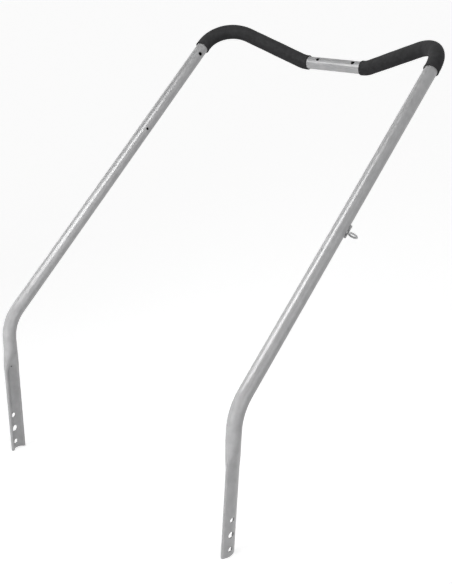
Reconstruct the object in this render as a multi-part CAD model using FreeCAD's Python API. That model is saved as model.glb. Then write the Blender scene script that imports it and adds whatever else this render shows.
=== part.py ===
import FreeCAD, Part
import math
import os

from FreeCAD import Vector

# Push handle of a walk-behind lawn mower: one bent steel tube with pressed and drilled ends,
# a foam grip over each top corner and a wire eye for the starter rope. Millimetres.
# +Z runs up from the deck, +Y towards the person who pushes, X across the legs. The origin lies
# midway between the legs, on the line through the middle bolt holes.

# Tube
TUBE_D = 25.4
TUBE_WALL = 1.2

# Course of the tube, between the sharp corners that its bends round off
LEG_SPACING = 540.0       # across the axes of the two long legs
LEG_LENGTH = 813.0        # from the lower bend to the top corner
LEG_LEAN = 50.2           # degrees that the long legs lean back from the upright
LEG_TOE = 1.9             # degrees that the lower legs close in towards their ends
BEND_HEIGHT = 224.3       # from the middle bolt hole up to the lower bend
BAR_LENGTH = 152.0        # middle bar
BAR_DROP = 86.5           # of the middle bar below the plane of the long legs
BAR_DIP = 10.4            # of the middle bar back down the long legs
LOWER_BEND_R = 70.0
CORNER_R = 70.0
BAR_BEND_R = 45.0

# Pressed ends of the lower legs
PRESS_CROWN = 4.0         # rise of the outer wall between the two folds
FOLD_R = 1.9              # inside radius of a fold
PRESS_SLIT = 0.2          # gap left between the two walls
PRESS_SHIFT = 1.9         # of the folds away from the other leg
BEND_LEAD = 1.0           # round length between the bend and the flare
FLARE_LENGTH = 60.0       # from the round tube to the full press
FLARE_STEPS = 6
DISH_POWER = 4            # the higher, the later in the flare the inner wall is dished
DRAIN_D = 3.0             # hole at the top of the dish
DRAIN_RISE = 13.0         # above the full press

# Bolt holes in the pressed ends
BOLT_D = 9.8
PIVOT_D = 12.6            # middle hole
BOLT_PITCH = 28.5
BOLT_SET = 1.7            # of the holes in front of the middle of the leg
END_MARGIN = 13.5         # from the lowest hole to the end of the tube

# Holes in the round tube
CONTROL_D = 8.5           # through the middle bar
CONTROL_SPACING = 84.7
CONTROL_SHIFT = 4.0       # of the pair towards the +X leg
SIDE_TILT = 23.0          # degrees that the side holes look up from the plane of the long legs
BAIL_D = 8.0              # inner wall of both long legs
BAIL_DROP = 103.0         # below the top corner
CABLE_D = 5.5             # inner wall of the -X leg
CABLE_DROP = 321.0

# Foam grips
GRIP_WALL = 2.1
GRIP_FIT = 0.1            # between foam and tube
GRIP_BAR_END = 12.0       # inner end, along the bar from its corner
GRIP_TAIL = 81.0          # lower end, below the top corner

# Rope guide
WIRE_D = 3.5
EYE_D = 21.0              # outside
EYE_PITCH = 6.5           # between the two ends of the turn
GUIDE_RISE = 362.5        # up the +X leg from the lower bend
GUIDE_TURN = 36.0         # degrees round the tube, from straight outwards to downwards
FOOT_BEND_R = 3.0
UPPER_FOOT = 7.0
LOWER_FOOT = 4.0
WELD_GAP = 0.05

TUBE_R = TUBE_D / 2
LEAN = math.radians(LEG_LEAN)
TOE = math.radians(LEG_TOE)
ACROSS = Vector(1, 0, 0)
BACK = Vector(0, 1, 0)
UP_LEG = Vector(0, math.sin(LEAN), math.cos(LEAN))
OFF_LEG = ACROSS.cross(UP_LEG)

# Places along a lower leg, as lengths below its bend
BEND_TANGENT = LOWER_BEND_R * math.tan(math.acos(math.cos(LEAN) * math.cos(TOE)) / 2)
FLARE_STEP = FLARE_LENGTH / FLARE_STEPS
FLARE_TOP = BEND_TANGENT + BEND_LEAD
PRESS_TOP = FLARE_TOP + FLARE_STEP + FLARE_LENGTH
LEG_END = (BEND_HEIGHT + BOLT_PITCH + END_MARGIN) / math.cos(TOE)


def lower_bend(side):
    """Sharp corner of the lower bend, on the +X (1) or -X (-1) side."""
    return Vector(side * LEG_SPACING / 2, BOLT_SET, BEND_HEIGHT)


def lower_leg(side, below):
    """Point on the axis of a lower leg, at a length below its bend."""
    return lower_bend(side) - Vector(side * math.sin(TOE), 0, math.cos(TOE)) * below


def top_corner(side):
    return lower_bend(side) + UP_LEG * LEG_LENGTH


def bar_point(x):
    """Point on the axis of the middle bar."""
    corner = top_corner(0) - OFF_LEG * BAR_DROP - UP_LEG * BAR_DIP
    return corner + ACROSS * x


def rounded_path(corners, radii):
    """Wire through the corners, with each inner corner rounded by a tangent arc."""
    edges = []
    start = corners[0]
    for before, corner, after, radius in zip(corners, corners[1:], corners[2:], radii):
        back = (before - corner).normalize()
        ahead = (after - corner).normalize()
        half_turn = (math.pi - back.getAngle(ahead)) / 2
        arc_start = corner + back * radius * math.tan(half_turn)
        arc_end = corner + ahead * radius * math.tan(half_turn)
        middle = corner + (back + ahead).normalize() * radius * (1 / math.cos(half_turn) - 1)
        edges.append(Part.LineSegment(start, arc_start).toShape())
        edges.append(Part.Arc(arc_start, middle, arc_end).toShape())
        start = arc_end
    edges.append(Part.LineSegment(start, corners[-1]).toShape())
    return Part.Wire(edges)


def rod(path, radius):
    """Round section swept along a path."""
    first = path.OrderedEdges[0]
    centre = first.valueAt(first.FirstParameter)
    axis = first.tangentAt(first.FirstParameter)
    circle = Part.Wire(Part.Circle(centre, axis, radius).toShape())
    return path.makePipe(Part.Face(circle))


def sleeve(path, outer_r, inner_r):
    return rod(path, outer_r).cut(rod(path, inner_r))


def bore(point, axis, diameter, depth):
    """Cylinder to cut a hole, from a point along an axis."""
    return Part.makeCylinder(diameter / 2, depth, point, axis)


def arc_length(half_chord, rise):
    radius = (half_chord ** 2 + rise ** 2) / (2 * rise)
    return 4 * radius * math.atan2(rise, half_chord)


def fold_offset(fold_r, crown, dish):
    """Distance of each fold from the middle, at which the girth stays that of the round tube."""
    girth = math.pi * TUBE_D - 2 * math.pi * fold_r
    low = 0.0
    high = girth / 4
    while high - low > 1e-9:
        half = (low + high) / 2
        if arc_length(half, crown) + arc_length(half, dish) < girth:
            low = half
        else:
            high = half
    return low


def pressed_points(press, inset):
    """Ends and middles of the four arcs of the pressed section, in order round it.

    press runs from just above 0, round, to 1, walls together. inset is 0 for the outside of the
    tube and the wall for its inside. x points away from the other leg and y towards the back.
    """
    fold_r = TUBE_R + (FOLD_R + TUBE_WALL - TUBE_R) * press
    crown = PRESS_CROWN * press
    dish = (PRESS_CROWN + 2 * FOLD_R - PRESS_SLIT) * press ** DISH_POWER
    half = fold_offset(fold_r, crown, dish)
    shift = PRESS_SHIFT * press
    skin = fold_r - inset
    outer_angle = 2 * math.atan2(crown, half)
    inner_angle = math.pi + 2 * math.atan2(dish, half)
    middle_angle = (outer_angle + inner_angle) / 2

    def on_fold(side, angle):
        return Vector(shift + skin * math.cos(angle), side * (half + skin * math.sin(angle)), 0)

    return [
        on_fold(-1, outer_angle), Vector(shift + crown + skin, 0, 0),
        on_fold(1, outer_angle), on_fold(1, middle_angle),
        on_fold(1, inner_angle), Vector(shift + dish - skin, 0, 0),
        on_fold(-1, inner_angle), on_fold(-1, middle_angle),
    ]


def round_points(inset, like):
    """The same points on the round tube, at the angles at which another section has them."""
    radius = TUBE_R - inset
    return [Vector(point).normalize() * radius for point in like]


def section_wire(points, below):
    """Closed wire of four arcs through eight points, at a length below the bend."""
    points = [point - Vector(0, 0, below) for point in points]
    ends = points[2::2] + points[:1]
    arcs = []
    for start, middle, end in zip(points[::2], points[1::2], ends):
        arcs.append(Part.Arc(start, middle, end).toShape())
    return Part.Wire(arcs)


def flare(inset):
    """Outside or inside of the length in which the round tube goes over to the pressed section."""
    sections = []
    for step in range(FLARE_STEPS + 3):
        share = min(max(step - 1, 0) / FLARE_STEPS, 1)
        press = share ** 2 * (3 - 2 * share)
        if press:
            points = pressed_points(press, inset)
        else:
            points = round_points(inset, pressed_points(1 / FLARE_STEPS, inset))
        sections.append(section_wire(points, FLARE_TOP + step * FLARE_STEP))
    return Part.makeLoft(sections, True, False)


def pressed_end():
    """Lower end of the +X leg below its bend, with its drain hole."""
    blade_top = PRESS_TOP + FLARE_STEP
    outer, inner = (Part.Face(section_wire(pressed_points(1, inset), blade_top)) for inset in (0, TUBE_WALL))
    blade = outer.cut(inner).extrude(Vector(0, 0, blade_top - LEG_END))
    drain_start = Vector(-TUBE_D, 0, DRAIN_RISE - PRESS_TOP)
    drain = bore(drain_start, ACROSS, DRAIN_D, TUBE_D + PRESS_SHIFT + PRESS_CROWN)
    end = flare(0).cut(flare(TUBE_WALL)).fuse(blade).cut(drain)
    end.Placement = FreeCAD.Placement(lower_bend(1), FreeCAD.Rotation(BACK, LEG_TOE))
    return end


def bolt_holes():
    """Three holes in a row through each pressed end, along X."""
    reach = LEG_SPACING / 2 + TUBE_D
    holes = []
    for row, diameter in ((-1, BOLT_D), (0, PIVOT_D), (1, BOLT_D)):
        holes.append(bore(Vector(-reach, 0, row * BOLT_PITCH), ACROSS, diameter, 2 * reach))
    return holes


def control_holes():
    """Two holes right through the middle bar, square to the plane of the long legs."""
    holes = []
    for side in (-1, 1):
        start = bar_point(CONTROL_SHIFT + side * CONTROL_SPACING / 2) - OFF_LEG * TUBE_D
        holes.append(bore(start, OFF_LEG, CONTROL_D, 2 * TUBE_D))
    return holes


def side_holes():
    """Holes in the inner wall of the long legs, each cut from the axis of the leg inwards."""
    tilt = math.radians(SIDE_TILT)
    holes = []
    for side, drop, diameter in ((1, BAIL_DROP, BAIL_D), (-1, BAIL_DROP, BAIL_D), (-1, CABLE_DROP, CABLE_D)):
        axis = OFF_LEG * math.sin(tilt) - ACROSS * side * math.cos(tilt)
        holes.append(bore(top_corner(side) - UP_LEG * drop, axis, diameter, TUBE_D))
    return holes


def handle_tube():
    radii = [LOWER_BEND_R, CORNER_R, BAR_BEND_R]
    half = [lower_leg(1, FLARE_TOP), lower_bend(1), top_corner(1), bar_point(BAR_LENGTH / 2)]
    mirrored = [Vector(-point.x, point.y, point.z) for point in reversed(half)]
    path = rounded_path(half + mirrored, radii + radii[::-1])
    left_end = pressed_end()
    right_end = left_end.mirror(Vector(0, 0, 0), ACROSS)
    tube = sleeve(path, TUBE_R, TUBE_R - TUBE_WALL).fuse([left_end, right_end])
    return tube.removeSplitter().cut(bolt_holes() + control_holes() + side_holes())


def grip(side):
    """Foam sleeve from the leg, round the top corner and down the slope to the bar."""
    corner = top_corner(side)
    corners = [
        corner - UP_LEG * GRIP_TAIL,
        corner,
        bar_point(side * BAR_LENGTH / 2),
        bar_point(side * (BAR_LENGTH / 2 - GRIP_BAR_END)),
    ]
    inner_r = TUBE_R + GRIP_FIT
    return sleeve(rounded_path(corners, [CORNER_R, BAR_BEND_R]), inner_r + GRIP_WALL, inner_r)


def arc_from(start, tangent, normal, radius, degrees):
    """Arc that leaves a point along a tangent and bends towards a normal, and its end point."""
    centre = start + normal * radius
    axis = tangent.cross(normal)

    def turned(angle):
        return centre + FreeCAD.Rotation(axis, angle).multVec(start - centre)

    return Part.Arc(start, turned(degrees / 2), turned(degrees)).toShape(), turned(degrees)


def rope_guide():
    """Wire eye of one turn, with a foot along the leg at each end of the turn."""
    turn = math.radians(GUIDE_TURN)
    out = ACROSS * math.cos(turn) - OFF_LEG * math.sin(turn)
    aside = UP_LEG.cross(out)
    eye_r = (EYE_D - WIRE_D) / 2
    slope = math.asin(EYE_PITCH / (4 * eye_r))
    leaving = aside * math.cos(slope) + UP_LEG * math.sin(slope)
    arriving = UP_LEG * math.sin(slope) - aside * math.cos(slope)
    towards_foot = aside * math.sin(slope) + UP_LEG * math.cos(slope)
    seat = lower_bend(1) + UP_LEG * GUIDE_RISE + out * (TUBE_R + WELD_GAP + WIRE_D / 2)
    tip = seat + out * 2 * eye_r
    outer, flank = arc_from(tip, leaving, -out, eye_r, 90)
    inner, inner_end = arc_from(flank, -out, arriving, eye_r, 90)
    bend, foot_start = arc_from(inner_end, arriving, towards_foot, FOOT_BEND_R, 90 - math.degrees(slope))
    halves = []
    for foot_length in (UPPER_FOOT, LOWER_FOOT):
        foot = Part.LineSegment(foot_start, foot_start + UP_LEG * foot_length).toShape()
        halves.append(rod(Part.Wire([outer, inner, bend, foot]), WIRE_D / 2))
    upper, lower = halves
    lower.rotate(tip, out, 180)
    return upper.fuse(lower).removeSplitter()


def main():
    os.makedirs("parts", exist_ok=True)
    parts = {
        "handle_tube": handle_tube(),
        "left_grip": grip(1),
        "right_grip": grip(-1),
        "rope_guide": rope_guide(),
    }
    for name, shape in parts.items():
        shape.exportStep(f"parts/{name}.step")
        print(name, len(shape.Solids), shape.isValid(), round(shape.Volume))


main()
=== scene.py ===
import math
from collections import namedtuple

import bmesh
import bpy
from bpy.props import FloatProperty, FloatVectorProperty, IntProperty, PointerProperty
from mathutils import Matrix, Vector, noise


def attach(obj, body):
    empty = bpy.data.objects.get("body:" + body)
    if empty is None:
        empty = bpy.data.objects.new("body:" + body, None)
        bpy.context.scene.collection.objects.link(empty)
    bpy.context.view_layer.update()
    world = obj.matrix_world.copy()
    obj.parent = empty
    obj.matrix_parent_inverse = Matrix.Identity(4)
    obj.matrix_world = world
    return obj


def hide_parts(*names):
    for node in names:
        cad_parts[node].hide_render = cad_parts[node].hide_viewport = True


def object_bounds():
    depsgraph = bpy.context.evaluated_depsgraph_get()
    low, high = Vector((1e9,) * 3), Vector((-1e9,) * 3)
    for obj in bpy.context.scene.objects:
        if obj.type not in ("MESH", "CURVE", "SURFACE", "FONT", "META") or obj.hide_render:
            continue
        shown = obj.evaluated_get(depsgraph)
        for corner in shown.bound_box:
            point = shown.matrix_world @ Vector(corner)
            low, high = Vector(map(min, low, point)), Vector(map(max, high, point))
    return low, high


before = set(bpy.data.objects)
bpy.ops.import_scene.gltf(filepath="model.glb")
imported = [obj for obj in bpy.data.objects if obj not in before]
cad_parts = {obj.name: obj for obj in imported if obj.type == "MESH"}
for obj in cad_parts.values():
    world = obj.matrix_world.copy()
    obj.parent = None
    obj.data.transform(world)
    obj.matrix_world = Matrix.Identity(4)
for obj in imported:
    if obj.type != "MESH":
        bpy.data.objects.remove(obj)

# Push handle of a walk-behind lawn mower: a bent tube with pressed ends, foam grips and a rope guide.
# Metres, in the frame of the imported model: +Z up from the deck, +Y towards the person who pushes.
# The +X half is modelled, and the tube and the grips are mirrored from it.

bl_info = {
    "name": "Lawn mower handle",
    "version": (1, 0, 0),
    "blender": (4, 5, 0),
    "location": "3D View > Sidebar > Handle",
    "description": "Bent tube handle with foam grips and a rope guide, on a plain stage",
    "category": "Add Mesh",
}

CAD_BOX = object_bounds()
FLOOR_LEVEL = CAD_BOX[0].z
MM = 0.001
MERGE = 1e-6
LOOSE_MERGE = MERGE * 10
ACROSS = Vector((1, 0, 0))
QUARTER_TURN = math.pi / 2
SMOOTH_ANGLE = math.radians(35)
WHITE = (1, 1, 1, 1)

# Lengths of mesh along the swept pieces, and faces round them
TUBE_RUN_STEP = 20 * MM
TUBE_BEND_STEP = 2.5 * MM
FLARE_MESH_STEP = 2 * MM
BLADE_MESH_STEP = 8 * MM
FOAM_STEP = 3 * MM
WIRE_STEP = 0.6 * MM
HOLE_SIDES = 64
FOAM_SIDES = 72
WIRE_SIDES = 24
BEAD_SIDES = 16
BEAD_RINGS = 12
ROUNDING_STEPS = 3

# Pressing: how closely a section keeps its girth, and the decimals of metres that tell sections apart
GIRTH_SLACK = MERGE * MM
SECTION_DIGITS = 7

# Slots of the tube's two finishes: the coat, and the bore, whose near-black colour is painted shade
COAT_SLOT = 0
BORE_SLOT = 1

# Finishes: the scales of their patterns are per metre, and the spreads are to each side of a mean
PATCH_DETAIL = 4
GRAIN_DETAIL = 2
PATTERN_ROUGHNESS = 0.55
DARK_BELOW = 0.35
LIGHT_ABOVE = 0.65
COAT_PATCH_SCALE = 60
COAT_GRAIN_SCALE = 900
COAT_ROUGHNESS_SPREAD = 0.06
COAT_BUMP = 0.015
COAT_BUMP_HEIGHT = 0.3 * MM
BORE_PATCH_SCALE = 120
BORE_GRAIN_SCALE = 700
BORE_METALLIC = 0.6
BORE_ROUGHNESS = 0.65
BORE_ROUGHNESS_SPREAD = 0.1
FOAM_PATCH_SCALE = 90
FOAM_GRAIN_SCALE = 1400
FOAM_CELL_SCALE = 800
FOAM_GLOSS = 0.2
FOAM_ROUGHNESS_SPREAD = 0.05
FOAM_BUMP = 0.35
FOAM_BUMP_HEIGHT = 0.4 * MM
FOAM_SWELL_PATCH = 25 * MM

# Camera: its place in metres, its turn in degrees, and its lens and sensor in millimetres
CAMERA_PLACE = (1.0047, -0.9782, 0.8753)
CAMERA_TURN = (69.563, -1.331, 38.224)
CAMERA_LENS = 55.17
CAMERA_SENSOR = 36.0

# Directions that the two side lights come from, and the softbox in front of the legs
KEY_FROM = Vector((0.95, -0.14, 0.28))
FILL_FROM = Vector((-0.94, 0.09, 0.33))
SIDE_SPREAD = math.radians(50)
FRONT_PLACE = Vector((-0.2, -1.0, 0.42))
FRONT_AIM = Vector((0, 0, 0.38))
FRONT_SIZE = (1.0, 0.8)
FRONT_SPREAD = math.radians(70)

# Panels that only show as a shine: their X, rise up the legs and size, all at one distance off the legs
SHINE_OFF = 0.78
Shine = namedtuple("Shine", "across rise size")
STRIP = Shine(-0.04, 0.645, (0.5, 0.71))
GLOW = Shine(-0.47, 0.42, (0.36, 0.4))


def length(name, description, millimetres):
    return FloatProperty(
        name=name, description=description, default=millimetres * MM,
        min=0, precision=4, unit="LENGTH", subtype="DISTANCE",
    )


def angle(name, description, degrees):
    return FloatProperty(
        name=name, description=description, default=math.radians(degrees),
        unit="ROTATION", subtype="ANGLE",
    )


def factor(name, description, value):
    return FloatProperty(name=name, description=description, default=value, min=0, max=1, subtype="FACTOR")


def amount(name, description, value):
    return FloatProperty(name=name, description=description, default=value, min=0)


def watts(name, description, value):
    return FloatProperty(name=name, description=description, default=value, min=0, unit="POWER")


def colour(name, description, value):
    return FloatVectorProperty(
        name=name, description=description, default=value, size=3, min=0, max=1, subtype="COLOR",
    )


class TubeSettings(bpy.types.PropertyGroup):
    diameter: length("Diameter", "Outside of the tube", 25.4)
    wall: length("Wall", "Thickness of the steel", 1.2)
    leg_spacing: length("Leg spacing", "Across the axes of the two long legs", 540)
    leg_length: length("Leg length", "From the lower bend to the top corner", 813)
    leg_lean: angle("Leg lean", "Of the long legs back from the upright", 50.2)
    leg_toe: angle("Leg toe", "Of the lower legs in towards their ends", 1.9)
    bend_height: length("Bend height", "From the middle bolt hole up to the lower bend", 224.3)
    bar_length: length("Bar length", "Of the middle bar", 152)
    bar_drop: length("Bar drop", "Of the middle bar below the plane of the long legs", 86.5)
    bar_dip: length("Bar dip", "Of the middle bar back down the long legs", 10.4)
    lower_bend_r: length("Lower bend radius", "At the axis of the tube", 70)
    corner_r: length("Corner radius", "At the axis of the tube", 70)
    bar_bend_r: length("Bar bend radius", "At the axis of the tube", 45)
    sides: IntProperty(name="Sides", description="Faces round the tube", default=96, min=12)


class EndSettings(bpy.types.PropertyGroup):
    crown: length("Crown", "Rise of the outer wall between the two folds", 4)
    fold_r: length("Fold radius", "Inside radius of a fold", 1.9)
    slit: length("Slit", "Gap left between the two walls", 0.2)
    shift: length("Shift", "Of the folds away from the other leg", 1.9)
    lead: length("Lead", "Round length between the lower bend and the flare", 11)
    flare: length("Flare", "From the round tube to the full press", 60)
    dish_power: amount("Dish power", "The higher, the later the inner wall is dished", 4)
    margin: length("Margin", "From the lowest hole to the end of the tube", 13.5)
    bolt_d: length("Bolt hole", "Diameter of the outer bolt holes", 9.8)
    pivot_d: length("Pivot hole", "Diameter of the middle bolt hole", 12.6)
    bolt_pitch: length("Bolt pitch", "From hole to hole", 28.5)
    bolt_set: length("Bolt set", "Of the holes in front of the middle of the leg", 1.7)
    drain_d: length("Drain hole", "Diameter of the hole at the top of the dish", 3)
    drain_rise: length("Drain rise", "Of the drain hole above the full press", 13)


class HoleSettings(bpy.types.PropertyGroup):
    control_d: length("Control holes", "Diameter of the two holes through the bar", 8.5)
    control_spacing: length("Control spacing", "Between the two control holes", 84.7)
    control_shift: length("Control shift", "Of the pair towards the +X leg", 4)
    side_tilt: angle("Side tilt", "Of the side holes up from the plane of the long legs", 23)
    bail_d: length("Bail holes", "Diameter of the hole in the inner wall of each long leg", 8)
    bail_drop: length("Bail drop", "Of the bail holes below the top corner", 103)
    cable_d: length("Cable hole", "Diameter of the hole in the -X leg", 5.5)
    cable_drop: length("Cable drop", "Of the cable hole below the top corner", 321)


class GripSettings(bpy.types.PropertyGroup):
    wall: length("Wall", "Thickness of the foam", 2.1)
    fit: length("Fit", "Room between the foam and the tube", 0.1)
    bar_end: length("Bar end", "Inner end of a grip, along the bar from its corner", 12)
    tail: length("Tail", "Lower end of a grip, below the top corner", 81)
    edge_round: length("Edge rounding", "Of the cut ends of the foam", 0.7)
    lip: length("Lip", "That the lower end stands off", 0.5)
    lip_length: length("Lip length", "Of the foam that stands off", 9)
    unevenness: length("Unevenness", "Of the outside of the foam", 0.25)
    fill: factor("Fill", "How tight the foam sits, for its soft row", 0.9)


class GuideSettings(bpy.types.PropertyGroup):
    wire_d: length("Wire", "Diameter of the wire", 3.5)
    eye_d: length("Eye", "Outside diameter of the eye", 21)
    eye_pitch: length("Eye pitch", "Between the two ends of the turn", 6.5)
    rise: length("Rise", "Up the +X leg from the lower bend", 362.5)
    turn: angle("Turn", "Round the tube, from straight outwards to downwards", 36)
    foot_bend_r: length("Foot bend radius", "At the axis of the wire", 3)
    upper_foot: length("Upper foot", "Length of the foot up the leg", 7)
    lower_foot: length("Lower foot", "Length of the foot down the leg", 4)
    seat_gap: length("Seat gap", "Between a foot and the tube", 0.05)
    end_round: length("End rounding", "Of the cut ends of the wire", 0.5)
    weld_r: length("Weld radius", "Of the weld beads along the feet", 1.3)


class FinishSettings(bpy.types.PropertyGroup):
    coat_dark: colour("Coat, darker", "Darker patches of the silver coat", (0.345, 0.345, 0.35))
    coat_light: colour("Coat, lighter", "Lighter patches of the silver coat", (0.40, 0.40, 0.405))
    coat_roughness: factor("Coat roughness", "Mean roughness of the coat", 0.3)
    coat_gloss: factor("Coat gloss", "Specular level of the coat", 0.5)
    # The bore's two colours are near black: painted shade inside the tube and in its holes, over its bare
    # steel
    bore_dark: colour("Bore, darker", "Darker patches of the bare steel inside", (0.035, 0.032, 0.03))
    bore_painted_shade_light: colour("Bore, lighter", "Lighter patches of the bare steel inside", (0.075, 0.068, 0.062))
    foam_dark: colour("Foam, darker", "Darker patches of the foam", (0.013, 0.013, 0.0138))
    foam_light: colour("Foam, lighter", "Lighter patches of the foam", (0.022, 0.022, 0.0234))
    foam_roughness: factor("Foam roughness", "Mean roughness of the foam", 0.85)


class StageSettings(bpy.types.PropertyGroup):
    floor_colour: colour("Floor", "Colour of the floor", (0.9, 0.9, 0.9))
    floor_size: length("Floor size", "Side of the floor", 90000)
    floor_glow: amount("Floor glow", "White added to the floor where it is seen or mirrored", 0.54)
    ambient: amount("Ambient", "Level of the world's soft light", 0.33)
    key: amount("Key", "Strength of the soft light on the +X side", 1.0)
    fill: amount("Fill", "Strength of the soft light on the -X side", 0.45)
    front: watts("Front softbox", "Power of the softbox in front of the legs", 3.4)
    strip: watts("Strip", "Power of the long light that the legs mirror", 15)
    glow: watts("Glow", "Power of the light that widens the shine of the lower legs", 5)


class HandleSettings(bpy.types.PropertyGroup):
    tube: PointerProperty(name="Tube", type=TubeSettings)
    ends: PointerProperty(name="Pressed ends", type=EndSettings)
    holes: PointerProperty(name="Holes", type=HoleSettings)
    grips: PointerProperty(name="Grips", type=GripSettings)
    guide: PointerProperty(name="Rope guide", type=GuideSettings)
    finish: PointerProperty(name="Finish", type=FinishSettings)
    stage: PointerProperty(name="Stage", type=StageSettings)


class Course:
    """Directions and corners of the axis of the tube, on its +X side."""

    def __init__(self, tube, ends):
        self.up_leg = Vector((0, math.sin(tube.leg_lean), math.cos(tube.leg_lean)))
        self.off_leg = ACROSS.cross(self.up_leg)
        self.lower_bend = Vector((tube.leg_spacing / 2, ends.bolt_set, tube.bend_height))
        self.top_corner = self.lower_bend + self.up_leg * tube.leg_length
        self.bar_axis = self.top_corner - self.off_leg * tube.bar_drop - self.up_leg * tube.bar_dip
        self.bar_axis.x = 0
        self.bar_corner = self.bar(tube.bar_length / 2)
        self.end_frame = Matrix.Translation(self.lower_bend) @ Matrix.Rotation(tube.leg_toe, 4, "Y")
        bend_turn = math.acos(math.cos(tube.leg_lean) * math.cos(tube.leg_toe))
        self.flare_top = tube.lower_bend_r * math.tan(bend_turn / 2) + ends.lead
        self.leg_end = (tube.bend_height + ends.bolt_pitch + ends.margin) / math.cos(tube.leg_toe)

    def lower_leg(self, below):
        """Point on the axis of the lower leg, at a length below its bend."""
        return self.end_frame @ Vector((0, 0, -below))

    def bar(self, x):
        """Point on the axis of the middle bar, at a distance from its middle."""
        return self.bar_axis + ACROSS * x


class PressedSection:
    """Outline of the tube when it is pressed: two walls, one crowned and one dished, and two folds."""

    def __init__(self, tube, ends, press):
        self.tube_r = tube.diameter / 2
        self.fold_r = self.tube_r + (ends.fold_r + tube.wall - self.tube_r) * press
        self.shift = ends.shift * press
        crown = ends.crown * press
        # At the full press, the dish leaves only the slit between the two walls
        dish = (ends.crown + 2 * ends.fold_r - ends.slit) * press ** ends.dish_power
        self.half = self.fold_offset(crown, dish)
        self.crown_turn = 2 * math.atan2(crown, self.half)
        self.dish_turn = 2 * math.atan2(dish, self.half)
        crown_r = (self.half ** 2 + crown ** 2) / (2 * crown)
        dish_r = (self.half ** 2 + dish ** 2) / (2 * dish)
        self.crown_centre = self.shift + crown - crown_r
        self.dish_centre = self.shift + dish - dish_r
        self.outer_r = crown_r + self.fold_r
        self.inner_r = dish_r - self.fold_r

    def fold_offset(self, crown, dish):
        """Distance of each fold from the middle, at which the girth stays that of the round tube."""
        girth = 2 * math.pi * (self.tube_r - self.fold_r)
        low = 0.0
        high = girth / 4
        while high - low > GIRTH_SLACK:
            half = (low + high) / 2
            if self.arc_length(half, crown) + self.arc_length(half, dish) < girth:
                low = half
            else:
                high = half
        return high

    @staticmethod
    def arc_length(half_chord, rise):
        radius = (half_chord ** 2 + rise ** 2) / (2 * rise)
        return 4 * radius * math.atan2(rise, half_chord)

    def point(self, turn):
        """Where a point of the round tube goes, given its angle from straight outwards."""
        along = abs(turn) * self.tube_r
        crown_end = self.outer_r * self.crown_turn
        fold_end = crown_end + self.fold_r * (math.pi + self.dish_turn - self.crown_turn)
        if along < crown_end:
            place = along / self.outer_r
            x = self.crown_centre + self.outer_r * math.cos(place)
            y = self.outer_r * math.sin(place)
        elif along < fold_end:
            place = self.crown_turn + (along - crown_end) / self.fold_r
            x = self.shift + self.fold_r * math.cos(place)
            y = self.half + self.fold_r * math.sin(place)
        else:
            place = (math.pi * self.tube_r - along) / self.inner_r
            x = self.dish_centre + self.inner_r * math.cos(place)
            y = self.inner_r * math.sin(place)
        return x, math.copysign(y, turn)


# Modelling with Blender's tools

def deselect_all():
    bpy.ops.object.select_all(action="DESELECT")


def pick(piece):
    deselect_all()
    piece.select_set(True)
    bpy.context.view_layer.objects.active = piece


def apply_place():
    bpy.ops.object.transform_apply(location=True, rotation=True, scale=True)


def facing(axis):
    """Turn that points an object's own Z along an axis."""
    return axis.to_track_quat("Z", "Y").to_euler()


def start_ring(name, centre, axis, radius, sides, towards=None):
    """Adds a circle about an axis, with a point on a given side, and leaves it selected in edit mode."""
    deselect_all()
    turn = facing(axis)
    if towards is not None:
        turn = Matrix((towards.cross(axis), towards, axis)).transposed().to_euler()
    bpy.ops.mesh.primitive_circle_add(vertices=sides, radius=radius, location=centre, rotation=turn)
    apply_place()
    piece = bpy.context.object
    piece.name = name
    piece.data.name = name
    bpy.ops.object.mode_set(mode="EDIT")
    bpy.ops.mesh.select_mode(type="EDGE")
    bpy.ops.mesh.select_all(action="SELECT")
    return piece


def run(move, step):
    """Draws the selected ring straight on, in steps of about the given length."""
    steps = max(round(move.length / step), 1)
    for _ in range(steps):
        bpy.ops.mesh.extrude_region_move(TRANSFORM_OT_translate={"value": move / steps})


def bend(centre, axis, turn, radius, step):
    """Draws the selected ring round a centre."""
    steps = max(round(turn * radius / step), 1)
    # The spin tool turns the other way about its axis
    bpy.ops.mesh.spin(steps=steps, angle=turn, center=centre, axis=-axis)


def sweep(corners, radii, run_step, bend_step):
    """Draws the selected ring along the corners, each inner one rounded by its radius."""
    start = corners[0]
    for before, corner, after, radius in zip(corners, corners[1:], corners[2:], radii):
        back = (before - corner).normalized()
        ahead = (after - corner).normalized()
        turn = math.pi - back.angle(ahead)
        tangent = radius * math.tan(turn / 2)
        centre = corner + (back + ahead).normalized() * radius / math.cos(turn / 2)
        run(corner + back * tangent - start, run_step)
        bend(centre, ahead.cross(back), turn, radius, bend_step)
        start = corner + ahead * tangent
    run(corners[-1] - start, run_step)


def select_ring(piece, centre, axis, reach):
    """Selects the open edges that lie in the plane of a ring, near its centre."""
    bpy.ops.mesh.select_all(action="DESELECT")
    mesh = bmesh.from_edit_mesh(piece.data)
    for edge in mesh.edges:
        offsets = [point.co - centre for point in edge.verts]
        in_plane = all(abs(offset.dot(axis)) < LOOSE_MERGE for offset in offsets)
        near = all(offset.length < reach for offset in offsets)
        if edge.is_boundary and in_plane and near:
            edge.select_set(True)
    bmesh.update_edit_mesh(piece.data)


def close_mesh():
    """Merges doubled points and points the faces outwards, then leaves edit mode."""
    bpy.ops.mesh.select_all(action="SELECT")
    bpy.ops.mesh.remove_doubles(threshold=MERGE)
    bpy.ops.mesh.normals_make_consistent(inside=False)
    bpy.ops.object.mode_set(mode="OBJECT")


def apply_modifier(piece, kind, **values):
    modifier = piece.modifiers.new(kind.title(), kind)
    for name, value in values.items():
        setattr(modifier, name, value)
    pick(piece)
    bpy.ops.object.modifier_apply(modifier=modifier.name)


def give_wall(piece, wall, inner_slot=0):
    """Gives an open skin its wall, inwards, with the inner side's finish in one of the piece's slots."""
    apply_modifier(
        piece, "SOLIDIFY", thickness=wall, offset=-1, use_even_offset=True, material_offset=inner_slot,
    )


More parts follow.
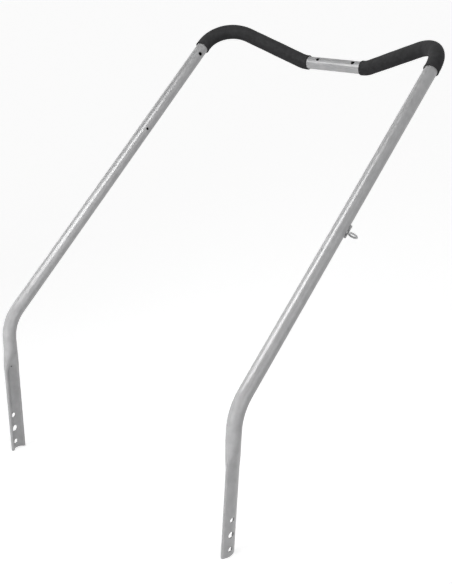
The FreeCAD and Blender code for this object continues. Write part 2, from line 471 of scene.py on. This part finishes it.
def smooth(piece):
    pick(piece)
    bpy.ops.object.shade_smooth_by_angle(angle=SMOOTH_ANGLE)


def hole(start, axis, diameter, depth):
    """Cutter for a round hole, from a point along an axis."""
    deselect_all()
    middle = start + axis * depth / 2
    bpy.ops.mesh.primitive_cylinder_add(
        vertices=HOLE_SIDES, radius=diameter / 2, depth=depth, location=middle, rotation=facing(axis),
    )
    apply_place()
    return bpy.context.object


def combine(piece, other, operation):
    """Takes another closed mesh away from a piece or adds it, and clears up slivers."""
    apply_modifier(piece, "BOOLEAN", object=other, operation=operation, solver="EXACT")
    bpy.data.objects.remove(other, do_unlink=True)
    pick(piece)
    bpy.ops.object.mode_set(mode="EDIT")
    bpy.ops.mesh.select_all(action="SELECT")
    bpy.ops.mesh.dissolve_degenerate(threshold=MERGE)
    close_mesh()


def cut(piece, cutters, finish_slot):
    """Cuts holes, whose walls take the finish in one of the piece's slots."""
    deselect_all()
    for cutter in cutters:
        cutter.select_set(True)
    bpy.context.view_layer.objects.active = cutters[0]
    bpy.ops.object.join()
    cutter = bpy.context.object
    for material in piece.data.materials:
        cutter.data.materials.append(material)
    for face in cutter.data.polygons:
        face.material_index = finish_slot
    combine(piece, cutter, "DIFFERENCE")


def hand_over(piece, node):
    """Sets a finished piece in the frame, in place of a node."""
    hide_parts(node)
    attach(piece, "root")


# Tube

def ease(share):
    """Share of the press at a share of the flare, level at both ends."""
    return share ** 2 * (3 - 2 * share)


def press_end(piece, tube, ends, course):
    """Presses the round end of the leg, each point keeping its place round the girth."""
    into_end = course.end_frame.inverted()
    sections = {}
    for vertex in piece.data.vertices:
        place = into_end @ vertex.co
        below = round(-place.z - course.flare_top, SECTION_DIGITS)
        if below <= MERGE:
            continue
        if below not in sections:
            sections[below] = PressedSection(tube, ends, ease(min(below / ends.flare, 1)))
        place.x, place.y = sections[below].point(math.atan2(place.y, place.x))
        vertex.co = course.end_frame @ place


def half_tube(tube, ends, course):
    """Outside of the +X half of the tube, from its pressed end to the middle of the bar."""
    flare_top = course.lower_leg(course.flare_top)
    down = (course.lower_leg(course.leg_end) - flare_top).normalized()
    piece = start_ring("steel_handle_tube", flare_top, down, tube.diameter / 2, tube.sides)
    corners = [flare_top, course.lower_bend, course.top_corner, course.bar_corner, course.bar(0)]
    radii = [tube.lower_bend_r, tube.corner_r, tube.bar_bend_r]
    sweep(corners, radii, TUBE_RUN_STEP, TUBE_BEND_STEP)
    select_ring(piece, flare_top, down, tube.diameter)
    run(down * ends.flare, FLARE_MESH_STEP)
    run(down * (course.leg_end - course.flare_top - ends.flare), BLADE_MESH_STEP)
    bpy.ops.object.mode_set(mode="OBJECT")
    press_end(piece, tube, ends, course)
    return piece


def bolt_holes(tube, ends):
    """Cutters for the three bolt holes, through both pressed ends."""
    reach = tube.leg_spacing / 2 + tube.diameter
    cutters = []
    for row, diameter in ((-1, ends.bolt_d), (0, ends.pivot_d), (1, ends.bolt_d)):
        start = Vector((-reach, 0, row * ends.bolt_pitch))
        cutters.append(hole(start, ACROSS, diameter, 2 * reach))
    return cutters


def drain_holes(tube, ends, course):
    """Cutters for the drain hole at the top of each dish."""
    drain_below = course.flare_top + ends.flare - ends.drain_rise
    depth = tube.diameter + ends.shift + ends.crown
    start = course.end_frame @ Vector((-tube.diameter, 0, -drain_below))
    axis = course.end_frame.to_3x3() @ ACROSS
    flips = [Vector((side, 1, 1)) for side in (1, -1)]
    return [hole(start * flip, axis * flip, ends.drain_d, depth) for flip in flips]


def round_tube_holes(tube, holes, course):
    """Cutters for the control holes in the bar and the side holes in the long legs."""
    cutters = []
    for side in (-1, 1):
        on_bar = course.bar(holes.control_shift + side * holes.control_spacing / 2)
        start = on_bar - course.off_leg * tube.diameter
        cutters.append(hole(start, course.off_leg, holes.control_d, 2 * tube.diameter))
    bail = (holes.bail_drop, holes.bail_d)
    cable = (holes.cable_drop, holes.cable_d)
    for side, (drop, diameter) in ((1, bail), (-1, bail), (-1, cable)):
        start = (course.top_corner - course.up_leg * drop) * Vector((side, 1, 1))
        axis = course.off_leg * math.sin(holes.side_tilt) - ACROSS * side * math.cos(holes.side_tilt)
        cutters.append(hole(start, axis, diameter, tube.diameter))
    return cutters


class HANDLE_OT_tube(bpy.types.Operator):
    """Bend the steel tube, press its ends and drill its holes"""

    bl_idname = "mower_handle.tube"
    bl_label = "Bend tube"

    def execute(self, context):
        settings = context.scene.mower_handle
        tube = settings.tube
        ends = settings.ends
        course = Course(tube, ends)
        piece = half_tube(tube, ends, course)
        apply_modifier(piece, "MIRROR", merge_threshold=LOOSE_MERGE)
        bpy.ops.object.mode_set(mode="EDIT")
        close_mesh()
        piece.data.materials.append(coated_steel(settings.finish))
        piece.data.materials.append(bare_steel_painted_shade(settings.finish))
        # The inside of the tube takes the bore finish, whose near-black colour is painted shade
        give_wall(piece, tube.wall, BORE_SLOT)
        cut(piece, bolt_holes(tube, ends) + round_tube_holes(tube, settings.holes, course), COAT_SLOT)
        # The drain holes' walls take the near-black bore finish too: painted shade, so the holes read as
        # dark dots
        cut(piece, drain_holes(tube, ends, course), BORE_SLOT)
        smooth(piece)
        hand_over(piece, "handle_tube")
        return {"FINISHED"}


# Grips

def foam_swell(grips, course, place):
    """How far a point of the foam stands off its even outside."""
    tail = course.top_corner - course.up_leg * grips.tail
    from_tail = (place - tail).dot(course.up_leg)
    lip = grips.lip * max(1 - from_tail / grips.lip_length, 0) ** 2
    return lip + grips.unevenness * noise.noise(place / FOAM_SWELL_PATCH)


def grip_sleeve(tube, grips, course):
    """Foam sleeve of the +X side, from the leg round the top corner to the bar."""
    outer_r = tube.diameter / 2 + grips.fit + grips.wall
    tail = course.top_corner - course.up_leg * grips.tail
    inner_end = course.bar(tube.bar_length / 2 - grips.bar_end)
    corners = [tail, course.top_corner, course.bar_corner, inner_end]
    piece = start_ring("foam_grip", tail, course.up_leg, outer_r, FOAM_SIDES)
    sweep(corners, [tube.corner_r, tube.bar_bend_r], FOAM_STEP, FOAM_STEP)
    close_mesh()
    normals = [vertex.normal.copy() for vertex in piece.data.vertices]
    give_wall(piece, grips.wall)
    # The outside keeps its points first in the mesh, so the pairing leaves the inside as it is
    for vertex, normal in zip(piece.data.vertices, normals):
        vertex.co += normal * foam_swell(grips, course, vertex.co)
    apply_modifier(piece, "BEVEL", width=grips.edge_round, segments=ROUNDING_STEPS, limit_method="ANGLE")
    smooth(piece)
    return piece


class HANDLE_OT_grips(bpy.types.Operator):
    """Slide a foam sleeve over each top corner"""

    bl_idname = "mower_handle.grips"
    bl_label = "Fit grips"

    def execute(self, context):
        settings = context.scene.mower_handle
        course = Course(settings.tube, settings.ends)
        left = grip_sleeve(settings.tube, settings.grips, course)
        left.name = "foam_left_grip"
        left.data.materials.append(grip_foam(settings.finish))
        pick(left)
        bpy.ops.object.duplicate()
        right = bpy.context.object
        right.name = "foam_right_grip"
        bpy.ops.transform.mirror(constraint_axis=(True, False, False), center_override=(0, 0, 0))
        apply_place()
        bpy.ops.object.mode_set(mode="EDIT")
        close_mesh()
        for piece, node in ((left, "left_grip"), (right, "right_grip")):
            hand_over(piece, node)
        return {"FINISHED"}


# Rope guide

def guide_half(tube, guide, course, foot_length):
    """Half of the wire, from the tip of the eye to the end of a foot.

    Returns it with its weld beads, the tip of the eye and the direction out of the tube.
    """
    out = ACROSS * math.cos(guide.turn) - course.off_leg * math.sin(guide.turn)
    aside = course.up_leg.cross(out)
    eye_r = (guide.eye_d - guide.wire_d) / 2
    # Each half of the eye climbs half the pitch, over two of its radii at this slope
    slope = math.asin(guide.eye_pitch / (4 * eye_r))
    leaving = aside * math.cos(slope) + course.up_leg * math.sin(slope)
    arriving = course.up_leg * math.sin(slope) - aside * math.cos(slope)
    to_foot = aside * math.sin(slope) + course.up_leg * math.cos(slope)
    seat_r = tube.diameter / 2 + guide.seat_gap + guide.wire_d / 2
    tip = course.lower_bend + course.up_leg * guide.rise + out * (seat_r + 2 * eye_r)
    piece = start_ring("wire_rope_guide", tip, leaving, guide.wire_d / 2, WIRE_SIDES, out)
    flank_centre = tip - out * eye_r
    bend(flank_centre, leaving.cross(-out), QUARTER_TURN, eye_r, WIRE_STEP)
    flank = flank_centre + leaving * eye_r
    inner_centre = flank + arriving * eye_r
    bend(inner_centre, (-out).cross(arriving), QUARTER_TURN, eye_r, WIRE_STEP)
    inner_end = inner_centre - out * eye_r
    foot_centre = inner_end + to_foot * guide.foot_bend_r
    bend(foot_centre, arriving.cross(to_foot), QUARTER_TURN - slope, guide.foot_bend_r, WIRE_STEP)
    run(course.up_leg * foot_length, WIRE_STEP)
    bpy.ops.mesh.edge_face_add()
    bpy.ops.mesh.bevel(offset=guide.end_round, segments=ROUNDING_STEPS)
    bpy.ops.object.mode_set(mode="OBJECT")
    foot = inner_end + (to_foot - aside) * guide.foot_bend_r
    return piece, weld_beads(tube, guide, course, foot, foot_length), tip, out


def weld_beads(tube, guide, course, foot, foot_length):
    """A bead on each side of a foot, in the groove between the wire and the tube."""
    middle = foot + course.up_leg * foot_length / 2
    on_axis = course.lower_bend + course.up_leg * (middle - course.lower_bend).dot(course.up_leg)
    outwards = (middle - on_axis).normalized()
    sideways = course.up_leg.cross(outwards)
    seat = on_axis + outwards * (tube.diameter + guide.weld_r) / 2
    beads = []
    for side in (-1, 1):
        deselect_all()
        bpy.ops.mesh.primitive_uv_sphere_add(
            segments=BEAD_SIDES, ring_count=BEAD_RINGS, radius=guide.weld_r,
            scale=(1, 1, foot_length / (2 * guide.weld_r)),
            location=seat + sideways * side * guide.wire_d / 2, rotation=facing(course.up_leg),
        )
        apply_place()
        beads.append(bpy.context.object)
    return beads


class HANDLE_OT_rope_guide(bpy.types.Operator):
    """Coil the wire eye for the starter rope"""

    bl_idname = "mower_handle.rope_guide"
    bl_label = "Coil rope guide"

    def execute(self, context):
        settings = context.scene.mower_handle
        tube = settings.tube
        guide = settings.guide
        course = Course(tube, settings.ends)
        lower, lower_beads, tip, out = guide_half(tube, guide, course, guide.lower_foot)
        half_turn = Matrix.Translation(tip) @ Matrix.Rotation(math.pi, 4, out) @ Matrix.Translation(-tip)
        for item in [lower] + lower_beads:
            item.data.transform(half_turn)
        piece, upper_beads, _, _ = guide_half(tube, guide, course, guide.upper_foot)
        pick(piece)
        lower.select_set(True)
        bpy.ops.object.join()
        bpy.ops.object.mode_set(mode="EDIT")
        close_mesh()
        for bead in upper_beads + lower_beads:
            combine(piece, bead, "UNION")
        smooth(piece)
        piece.name = "wire_rope_guide"
        piece.data.materials.append(coated_steel(settings.finish))
        hand_over(piece, "rope_guide")
        return {"FINISHED"}


# Finishes

def add_node(tree, kind, **inputs):
    node = tree.nodes.new(kind)
    for name, value in inputs.items():
        node.inputs[name.replace("_", " ")].default_value = value
    return node


def add_math(tree, operation):
    node = tree.nodes.new("ShaderNodeMath")
    node.operation = operation
    return node


def unevenness_group():
    """Soft patches and a fine grain over a surface."""
    name = "surface_unevenness"
    if name in bpy.data.node_groups:
        return bpy.data.node_groups[name]
    group = bpy.data.node_groups.new(name, "ShaderNodeTree")
    group.interface.new_socket("Place", in_out="INPUT", socket_type="NodeSocketVector")
    group.interface.new_socket("Patch Scale", in_out="INPUT", socket_type="NodeSocketFloat")
    group.interface.new_socket("Grain Scale", in_out="INPUT", socket_type="NodeSocketFloat")
    group.interface.new_socket("Patches", in_out="OUTPUT", socket_type="NodeSocketFloat")
    group.interface.new_socket("Grain", in_out="OUTPUT", socket_type="NodeSocketFloat")
    entry = group.nodes.new("NodeGroupInput")
    leave = group.nodes.new("NodeGroupOutput")
    patterns = (("Patch Scale", "Patches", PATCH_DETAIL), ("Grain Scale", "Grain", GRAIN_DETAIL))
    for scale, output, detail in patterns:
        pattern = add_node(group, "ShaderNodeTexNoise", Detail=detail, Roughness=PATTERN_ROUGHNESS)
        group.links.new(entry.outputs["Place"], pattern.inputs["Vector"])
        group.links.new(entry.outputs[scale], pattern.inputs["Scale"])
        group.links.new(pattern.outputs["Fac"], leave.inputs[output])
    return group


class Surface:
    """Material on object coordinates, with the unevenness group beside its shader."""

    def __init__(self, name, patch_scale, grain_scale):
        self.material = bpy.data.materials.new(name)
        self.material.use_nodes = True
        self.tree = self.material.node_tree
        self.shader = self.tree.nodes["Principled BSDF"]
        self.place = self.tree.nodes.new("ShaderNodeTexCoord")
        self.uneven = self.tree.nodes.new("ShaderNodeGroup")
        self.uneven.node_tree = unevenness_group()
        self.uneven.inputs["Patch Scale"].default_value = patch_scale
        self.uneven.inputs["Grain Scale"].default_value = grain_scale
        self.tree.links.new(self.place.outputs["Object"], self.uneven.inputs["Place"])

    def blend_colours(self, dark, light):
        """Blends two colours by the patches."""
        ramp = self.tree.nodes.new("ShaderNodeValToRGB")
        ramp.color_ramp.elements[0].position = DARK_BELOW
        ramp.color_ramp.elements[0].color = (*dark, 1)
        ramp.color_ramp.elements[1].position = LIGHT_ABOVE
        ramp.color_ramp.elements[1].color = (*light, 1)
        self.tree.links.new(self.uneven.outputs["Patches"], ramp.inputs["Fac"])
        self.tree.links.new(ramp.outputs["Color"], self.shader.inputs["Base Color"])

    def vary_roughness(self, pattern, mean, spread):
        """Varies the roughness about its mean, by one of the group's patterns."""
        vary = add_node(self.tree, "ShaderNodeMapRange", To_Min=mean - spread, To_Max=mean + spread)
        self.tree.links.new(self.uneven.outputs[pattern], vary.inputs["Value"])
        self.tree.links.new(vary.outputs["Result"], self.shader.inputs["Roughness"])

    def add_bump(self, height, strength, distance):
        bump = add_node(self.tree, "ShaderNodeBump", Strength=strength, Distance=distance)
        self.tree.links.new(height, bump.inputs["Height"])
        self.tree.links.new(bump.outputs["Normal"], self.shader.inputs["Normal"])


def coated_steel(finish):
    """Satin silver coat, a little mottled."""
    name = "satin_silver_coat"
    if name in bpy.data.materials:
        return bpy.data.materials[name]
    coat = Surface(name, COAT_PATCH_SCALE, COAT_GRAIN_SCALE)
    coat.shader.inputs["Specular IOR Level"].default_value = finish.coat_gloss
    coat.blend_colours(finish.coat_dark, finish.coat_light)
    coat.vary_roughness("Patches", finish.coat_roughness, COAT_ROUGHNESS_SPREAD)
    coat.add_bump(coat.uneven.outputs["Grain"], COAT_BUMP, COAT_BUMP_HEIGHT)
    return coat.material


def bare_steel_painted_shade(finish):
    """Bare steel, as drawn, inside the tube: dull, and painted near black as the shade inside the tube and
    its holes.
    """
    bore = Surface("bare_steel_bore", BORE_PATCH_SCALE, BORE_GRAIN_SCALE)
    bore.shader.inputs["Metallic"].default_value = BORE_METALLIC
    # Both colours are near black, painted shade rather than the steel's own tone
    bore.blend_colours(finish.bore_dark, finish.bore_painted_shade_light)
    bore.vary_roughness("Grain", BORE_ROUGHNESS, BORE_ROUGHNESS_SPREAD)
    return bore.material


def grip_foam(finish):
    """Black closed-cell foam with a dull skin of fine cells."""
    foam = Surface("black_grip_foam", FOAM_PATCH_SCALE, FOAM_GRAIN_SCALE)
    foam.shader.inputs["Specular IOR Level"].default_value = FOAM_GLOSS
    foam.blend_colours(finish.foam_dark, finish.foam_light)
    foam.vary_roughness("Grain", finish.foam_roughness, FOAM_ROUGHNESS_SPREAD)
    cells = add_node(foam.tree, "ShaderNodeTexVoronoi", Scale=FOAM_CELL_SCALE)
    height = add_math(foam.tree, "ADD")
    foam.tree.links.new(foam.place.outputs["Object"], cells.inputs["Vector"])
    foam.tree.links.new(cells.outputs["Distance"], height.inputs[0])
    foam.tree.links.new(foam.uneven.outputs["Grain"], height.inputs[1])
    foam.add_bump(height.outputs["Value"], FOAM_BUMP, FOAM_BUMP_HEIGHT)
    return foam.material


# Stage

def white_for_eye(tree):
    """Share of rays to which the background is plain white: seen directly, in gloss or through glass."""
    path = tree.nodes.new("ShaderNodeLightPath")
    direct = add_math(tree, "MAXIMUM")
    every = add_math(tree, "MAXIMUM")
    tree.links.new(path.outputs["Is Camera Ray"], direct.inputs[0])
    tree.links.new(path.outputs["Is Glossy Ray"], direct.inputs[1])
    tree.links.new(direct.outputs["Value"], every.inputs[0])
    tree.links.new(path.outputs["Is Transmission Ray"], every.inputs[1])
    return every.outputs["Value"]


def lay_floor(stage):
    """Lays a pale floor that takes light and shadow, and looks whiter than it is lit."""
    deselect_all()
    bpy.ops.mesh.primitive_plane_add(size=stage.floor_size, location=(0, 0, FLOOR_LEVEL))
    apply_place()
    floor = bpy.context.object
    floor.name = "floor"
    material = bpy.data.materials.new("pale_floor")
    material.use_nodes = True
    tree = material.node_tree
    tree.nodes.remove(tree.nodes["Principled BSDF"])
    matt = add_node(tree, "ShaderNodeBsdfDiffuse", Color=(*stage.floor_colour, 1))
    glow = tree.nodes.new("ShaderNodeEmission")
    level = add_math(tree, "MULTIPLY")
    level.inputs[1].default_value = stage.floor_glow
    both = tree.nodes.new("ShaderNodeAddShader")
    tree.links.new(white_for_eye(tree), level.inputs[0])
    tree.links.new(level.outputs["Value"], glow.inputs["Strength"])
    tree.links.new(matt.outputs["BSDF"], both.inputs[0])
    tree.links.new(glow.outputs["Emission"], both.inputs[1])
    tree.links.new(both.outputs["Shader"], tree.nodes["Material Output"].inputs["Surface"])
    floor.data.materials.append(material)


def light_world(stage):
    """Fills the world with soft light, and shows it as white."""
    world = bpy.data.worlds.new("studio")
    bpy.context.scene.world = world
    world.use_nodes = True
    tree = world.node_tree
    soft = tree.nodes["Background"]
    soft.inputs["Color"].default_value = WHITE
    soft.inputs["Strength"].default_value = stage.ambient
    white = add_node(tree, "ShaderNodeBackground", Color=WHITE, Strength=1)
    mix = tree.nodes.new("ShaderNodeMixShader")
    tree.links.new(white_for_eye(tree), mix.inputs["Fac"])
    tree.links.new(soft.outputs["Background"], mix.inputs[1])
    tree.links.new(white.outputs["Background"], mix.inputs[2])
    tree.links.new(mix.outputs["Shader"], tree.nodes["World Output"].inputs["Surface"])


def hang_sun(name, source, strength):
    """Hangs a broad light far away, in the direction that it comes from."""
    bpy.ops.object.light_add(type="SUN", rotation=facing(source))
    sun = bpy.context.object
    sun.name = name
    sun.data.energy = strength
    sun.data.angle = SIDE_SPREAD


def hang_panel(name, place, turn, size, power):
    """Hangs a flat rectangular light that the camera doesn't see."""
    bpy.ops.object.light_add(type="AREA", location=place, rotation=turn)
    panel = bpy.context.object
    panel.name = name
    panel.data.shape = "RECTANGLE"
    panel.data.size, panel.data.size_y = size
    panel.data.energy = power
    panel.visible_camera = False
    return panel


def hang_shine(name, tube, course, shine, power):
    """Hangs a panel that leans with the long legs and only shows as a shine."""
    place = course.lower_bend + course.up_leg * shine.rise + course.off_leg * SHINE_OFF
    place.x = shine.across
    panel = hang_panel(name, place, (QUARTER_TURN - tube.leg_lean, 0, 0), shine.size, power)
    panel.visible_diffuse = False


def hang_lights(stage, tube, course):
    hang_sun("soft_key", KEY_FROM, stage.key)
    hang_sun("soft_fill", FILL_FROM, stage.fill)
    turn = facing(FRONT_PLACE - FRONT_AIM)
    front = hang_panel("front_softbox", FRONT_PLACE, turn, FRONT_SIZE, stage.front)
    front.data.spread = FRONT_SPREAD
    front.visible_glossy = False
    hang_shine("leg_strip", tube, course, STRIP, stage.strip)
    hang_shine("leg_glow", tube, course, GLOW, stage.glow)


def place_camera():
    turn = [math.radians(degrees) for degrees in CAMERA_TURN]
    bpy.ops.object.camera_add(location=CAMERA_PLACE, rotation=turn)
    camera = bpy.context.object
    camera.name = "photo_camera"
    camera.data.lens = CAMERA_LENS
    camera.data.sensor_width = CAMERA_SENSOR
    bpy.context.scene.camera = camera


class HANDLE_OT_stage(bpy.types.Operator):
    """Lay the floor, hang the lights and place the camera"""

    bl_idname = "mower_handle.stage"
    bl_label = "Set stage"

    def execute(self, context):
        settings = context.scene.mower_handle
        context.scene.view_settings.view_transform = "Standard"
        place_camera()
        lay_floor(settings.stage)
        light_world(settings.stage)
        hang_lights(settings.stage, settings.tube, Course(settings.tube, settings.ends))
        return {"FINISHED"}


class HANDLE_PT_panel(bpy.types.Panel):
    """Lists the handle's steps and settings"""

    bl_idname = "HANDLE_PT_panel"
    bl_label = "Lawn mower handle"
    bl_space_type = "VIEW_3D"
    bl_region_type = "UI"
    bl_category = "Handle"

    def draw(self, context):
        settings = context.scene.mower_handle
        for step in STEPS:
            self.layout.operator(step.bl_idname)
        for group in settings.bl_rna.properties:
            if group.type != "POINTER" or group.identifier == "rna_type":
                continue
            box = self.layout.box()
            box.label(text=group.name)
            values = getattr(settings, group.identifier)
            for value in values.bl_rna.properties:
                if value.identifier not in ("rna_type", "name"):
                    box.prop(values, value.identifier)


STEPS = (HANDLE_OT_stage, HANDLE_OT_tube, HANDLE_OT_grips, HANDLE_OT_rope_guide)
CLASSES = (
    TubeSettings, EndSettings, HoleSettings, GripSettings, GuideSettings, FinishSettings, StageSettings,
    HandleSettings, *STEPS, HANDLE_PT_panel,
)


def register():
    for item in CLASSES:
        bpy.utils.register_class(item)
    bpy.types.Scene.mower_handle = PointerProperty(type=HandleSettings)


def unregister():
    del bpy.types.Scene.mower_handle
    for item in reversed(CLASSES):
        bpy.utils.unregister_class(item)


def main():
    register()
    bpy.ops.mower_handle.stage()
    bpy.ops.mower_handle.tube()
    bpy.ops.mower_handle.grips()
    bpy.ops.mower_handle.rope_guide()


if __name__ == "__main__":
    main()
